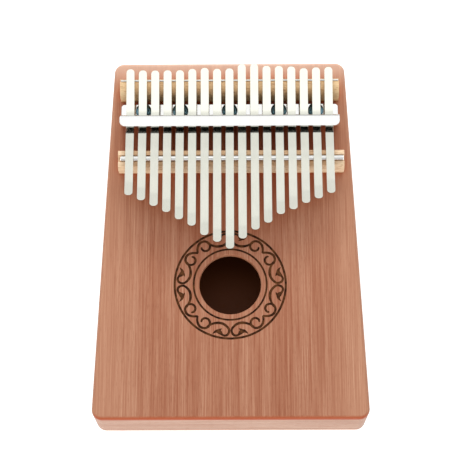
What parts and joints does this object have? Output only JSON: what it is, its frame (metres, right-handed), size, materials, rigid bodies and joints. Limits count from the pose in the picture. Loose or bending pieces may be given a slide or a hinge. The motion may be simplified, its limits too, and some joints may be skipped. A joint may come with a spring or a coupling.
{
  "type": "thumb piano",
  "caption": "Tapered hollow wooden box with a round sound hole, and spring-steel tines clamped over two bridges, played with the thumbs.",
  "frame": {"origin": "centre of the outside of the back plate, midway along the box", "axes": "+Z out of the soundboard, +Y along the tines towards the narrow head end, +X to the player's right"},
  "size_m": [0.1336, 0.185, 0.0462],
  "materials": {
    "soundboard_wood": "satin oiled mahogany, fine straight grain along Y",
    "body_wood": "satin mahogany, paler than the soundboard",
    "block_wood": "sawn, unfinished",
    "bridge_wood": "planed pale beech",
    "strip_steel": "ground",
    "bracket_nickel": "bright nickel plate",
    "rod_steel": "polished steel",
    "screw_zinc": "dark blue-grey zinc",
    "tine_steel": "satin nickel-plated spring steel"
  },
  "bodies": {
    "box": {"soundboard": "soundboard_wood", "back_plate": "body_wood", "side_left": "body_wood", "side_right": "body_wood", "head_rail": "body_wood", "tail_rail": "body_wood", "anchor_block": "block_wood", "backstop": "bridge_wood", "backstop_strip": "strip_steel", "tine_bracket": "bracket_nickel", "bracket_screw_1": "screw_zinc", "bracket_screw_2": "screw_zinc", "bracket_screw_3": "screw_zinc", "bracket_screw_4": "screw_zinc", "bracket_screw_5": "screw_zinc", "front_bridge": "bridge_wood", "bridge_rod": "rod_steel"},
    "clamped_01": {"tine_01_tail": "tine_steel"},
    "free_01": {"tine_01_blade": "tine_steel"},
    "clamped_02": {"tine_02_tail": "tine_steel"},
    "free_02": {"tine_02_blade": "tine_steel"},
    "clamped_03": {"tine_03_tail": "tine_steel"},
    "free_03": {"tine_03_blade": "tine_steel"},
    "clamped_04": {"tine_04_tail": "tine_steel"},
    "free_04": {"tine_04_blade": "tine_steel"},
    "clamped_05": {"tine_05_tail": "tine_steel"},
    "free_05": {"tine_05_blade": "tine_steel"},
    "clamped_06": {"tine_06_tail": "tine_steel"},
    "free_06": {"tine_06_blade": "tine_steel"},
    "clamped_07": {"tine_07_tail": "tine_steel"},
    "free_07": {"tine_07_blade": "tine_steel"},
    "clamped_08": {"tine_08_tail": "tine_steel"},
    "free_08": {"tine_08_blade": "tine_steel"},
    "clamped_09": {"tine_09_tail": "tine_steel"},
    "free_09": {"tine_09_blade": "tine_steel"},
    "clamped_10": {"tine_10_tail": "tine_steel"},
    "free_10": {"tine_10_blade": "tine_steel"},
    "clamped_11": {"tine_11_tail": "tine_steel"},
    "free_11": {"tine_11_blade": "tine_steel"},
    "clamped_12": {"tine_12_tail": "tine_steel"},
    "free_12": {"tine_12_blade": "tine_steel"},
    "clamped_13": {"tine_13_tail": "tine_steel"},
    "free_13": {"tine_13_blade": "tine_steel"},
    "clamped_14": {"tine_14_tail": "tine_steel"},
    "free_14": {"tine_14_blade": "tine_steel"},
    "clamped_15": {"tine_15_tail": "tine_steel"},
    "free_15": {"tine_15_blade": "tine_steel"},
    "clamped_16": {"tine_16_tail": "tine_steel"},
    "free_16": {"tine_16_blade": "tine_steel"},
    "clamped_17": {"tine_17_tail": "tine_steel"},
    "free_17": {"tine_17_blade": "tine_steel"}
  },
  "joints": [
    {"name": "tine_01_tune", "type": "slide", "parent": "box", "child": "clamped_01", "axis": [0, 1, 0], "range_m": [-0.0015, 0.0015]},
    {"name": "tine_01_flex", "type": "hinge", "parent": "clamped_01", "child": "free_01", "pos_m": [-0.05, 0.038, 0.04327], "axis": [1, 0, 0], "range_deg": [-0.8, 1.3], "stiffness_Nm_per_rad": 0.021},
    {"name": "tine_02_tune", "type": "slide", "parent": "box", "child": "clamped_02", "axis": [0, 1, 0], "range_m": [-0.0015, 0.0015]},
    {"name": "tine_02_flex", "type": "hinge", "parent": "clamped_02", "child": "free_02", "pos_m": [-0.04375, 0.038, 0.04327], "axis": [1, 0, 0], "range_deg": [-0.9, 1.5], "stiffness_Nm_per_rad": 0.03},
    {"name": "tine_03_tune", "type": "slide", "parent": "box", "child": "clamped_03", "axis": [0, 1, 0], "range_m": [-0.0015, 0.0015]},
    {"name": "tine_03_flex", "type": "hinge", "parent": "clamped_03", "child": "free_03", "pos_m": [-0.0375, 0.038, 0.04327], "axis": [1, 0, 0], "range_deg": [-1.1, 1.8], "stiffness_Nm_per_rad": 0.042},
    {"name": "tine_04_tune", "type": "slide", "parent": "box", "child": "clamped_04", "axis": [0, 1, 0], "range_m": [-0.0015, 0.0015]},
    {"name": "tine_04_flex", "type": "hinge", "parent": "clamped_04", "child": "free_04", "pos_m": [-0.03125, 0.038, 0.04327], "axis": [1, 0, 0], "range_deg": [-1.3, 2.2], "stiffness_Nm_per_rad": 0.059},
    {"name": "tine_05_tune", "type": "slide", "parent": "box", "child": "clamped_05", "axis": [0, 1, 0], "range_m": [-0.0015, 0.0015]},
    {"name": "tine_05_flex", "type": "hinge", "parent": "clamped_05", "child": "free_05", "pos_m": [-0.025, 0.038, 0.04327], "axis": [1, 0, 0], "range_deg": [-1.6, 2.7], "stiffness_Nm_per_rad": 0.084},
    {"name": "tine_06_tune", "type": "slide", "parent": "box", "child": "clamped_06", "axis": [0, 1, 0], "range_m": [-0.0015, 0.0015]},
    {"name": "tine_06_flex", "type": "hinge", "parent": "clamped_06", "child": "free_06", "pos_m": [-0.01875, 0.038, 0.04327], "axis": [1, 0, 0], "range_deg": [-1.9, 3.1], "stiffness_Nm_per_rad": 0.11},
    {"name": "tine_07_tune", "type": "slide", "parent": "box", "child": "clamped_07", "axis": [0, 1, 0], "range_m": [-0.0015, 0.0015]},
    {"name": "tine_07_flex", "type": "hinge", "parent": "clamped_07", "child": "free_07", "pos_m": [-0.0125, 0.038, 0.04327], "axis": [1, 0, 0], "range_deg": [-2.3, 3.8], "stiffness_Nm_per_rad": 0.16},
    {"name": "tine_08_tune", "type": "slide", "parent": "box", "child": "clamped_08", "axis": [0, 1, 0], "range_m": [-0.0015, 0.0015]},
    {"name": "tine_08_flex", "type": "hinge", "parent": "clamped_08", "child": "free_08", "pos_m": [-0.00625, 0.038, 0.04327], "axis": [1, 0, 0], "range_deg": [-2.6, 4.3], "stiffness_Nm_per_rad": 0.2},
    {"name": "tine_09_tune", "type": "slide", "parent": "box", "child": "clamped_09", "axis": [0, 1, 0], "range_m": [-0.0015, 0.0015]},
    {"name": "tine_09_flex", "type": "hinge", "parent": "clamped_09", "child": "free_09", "pos_m": [0, 0.038, 0.04327], "axis": [1, 0, 0], "range_deg": [-2.9, 4.9], "stiffness_Nm_per_rad": 0.25},
    {"name": "tine_10_tune", "type": "slide", "parent": "box", "child": "clamped_10", "axis": [0, 1, 0], "range_m": [-0.0015, 0.0015]},
    {"name": "tine_10_flex", "type": "hinge", "parent": "clamped_10", "child": "free_10", "pos_m": [0.00625, 0.038, 0.04327], "axis": [1, 0, 0], "range_deg": [-2.4, 4.1], "stiffness_Nm_per_rad": 0.18},
    {"name": "tine_11_tune", "type": "slide", "parent": "box", "child": "clamped_11", "axis": [0, 1, 0], "range_m": [-0.0015, 0.0015]},
    {"name": "tine_11_flex", "type": "hinge", "parent": "clamped_11", "child": "free_11", "pos_m": [0.0125, 0.038, 0.04327], "axis": [1, 0, 0], "range_deg": [-2, 3.4], "stiffness_Nm_per_rad": 0.13},
    {"name": "tine_12_tune", "type": "slide", "parent": "box", "child": "clamped_12", "axis": [0, 1, 0], "range_m": [-0.0015, 0.0015]},
    {"name": "tine_12_flex", "type": "hinge", "parent": "clamped_12", "child": "free_12", "pos_m": [0.01875, 0.038, 0.04327], "axis": [1, 0, 0], "range_deg": [-1.7, 2.9], "stiffness_Nm_per_rad": 0.099},
    {"name": "tine_13_tune", "type": "slide", "parent": "box", "child": "clamped_13", "axis": [0, 1, 0], "range_m": [-0.0015, 0.0015]},
    {"name": "tine_13_flex", "type": "hinge", "parent": "clamped_13", "child": "free_13", "pos_m": [0.025, 0.038, 0.04327], "axis": [1, 0, 0], "range_deg": [-1.4, 2.4], "stiffness_Nm_per_rad": 0.067},
    {"name": "tine_14_tune", "type": "slide", "parent": "box", "child": "clamped_14", "axis": [0, 1, 0], "range_m": [-0.0015, 0.0015]},
    {"name": "tine_14_flex", "type": "hinge", "parent": "clamped_14", "child": "free_14", "pos_m": [0.03125, 0.038, 0.04327], "axis": [1, 0, 0], "range_deg": [-1.2, 2.1], "stiffness_Nm_per_rad": 0.052},
    {"name": "tine_15_tune", "type": "slide", "parent": "box", "child": "clamped_15", "axis": [0, 1, 0], "range_m": [-0.0015, 0.0015]},
    {"name": "tine_15_flex", "type": "hinge", "parent": "clamped_15", "child": "free_15", "pos_m": [0.0375, 0.038, 0.04327], "axis": [1, 0, 0], "range_deg": [-1, 1.7], "stiffness_Nm_per_rad": 0.037},
    {"name": "tine_16_tune", "type": "slide", "parent": "box", "child": "clamped_16", "axis": [0, 1, 0], "range_m": [-0.0015, 0.0015]},
    {"name": "tine_16_flex", "type": "hinge", "parent": "clamped_16", "child": "free_16", "pos_m": [0.04375, 0.038, 0.04327], "axis": [1, 0, 0], "range_deg": [-0.9, 1.5], "stiffness_Nm_per_rad": 0.028},
    {"name": "tine_17_tune", "type": "slide", "parent": "box", "child": "clamped_17", "axis": [0, 1, 0], "range_m": [-0.0015, 0.0015]},
    {"name": "tine_17_flex", "type": "hinge", "parent": "clamped_17", "child": "free_17", "pos_m": [0.05, 0.038, 0.04327], "axis": [1, 0, 0], "range_deg": [-0.7, 1.2], "stiffness_Nm_per_rad": 0.019}
  ]
}
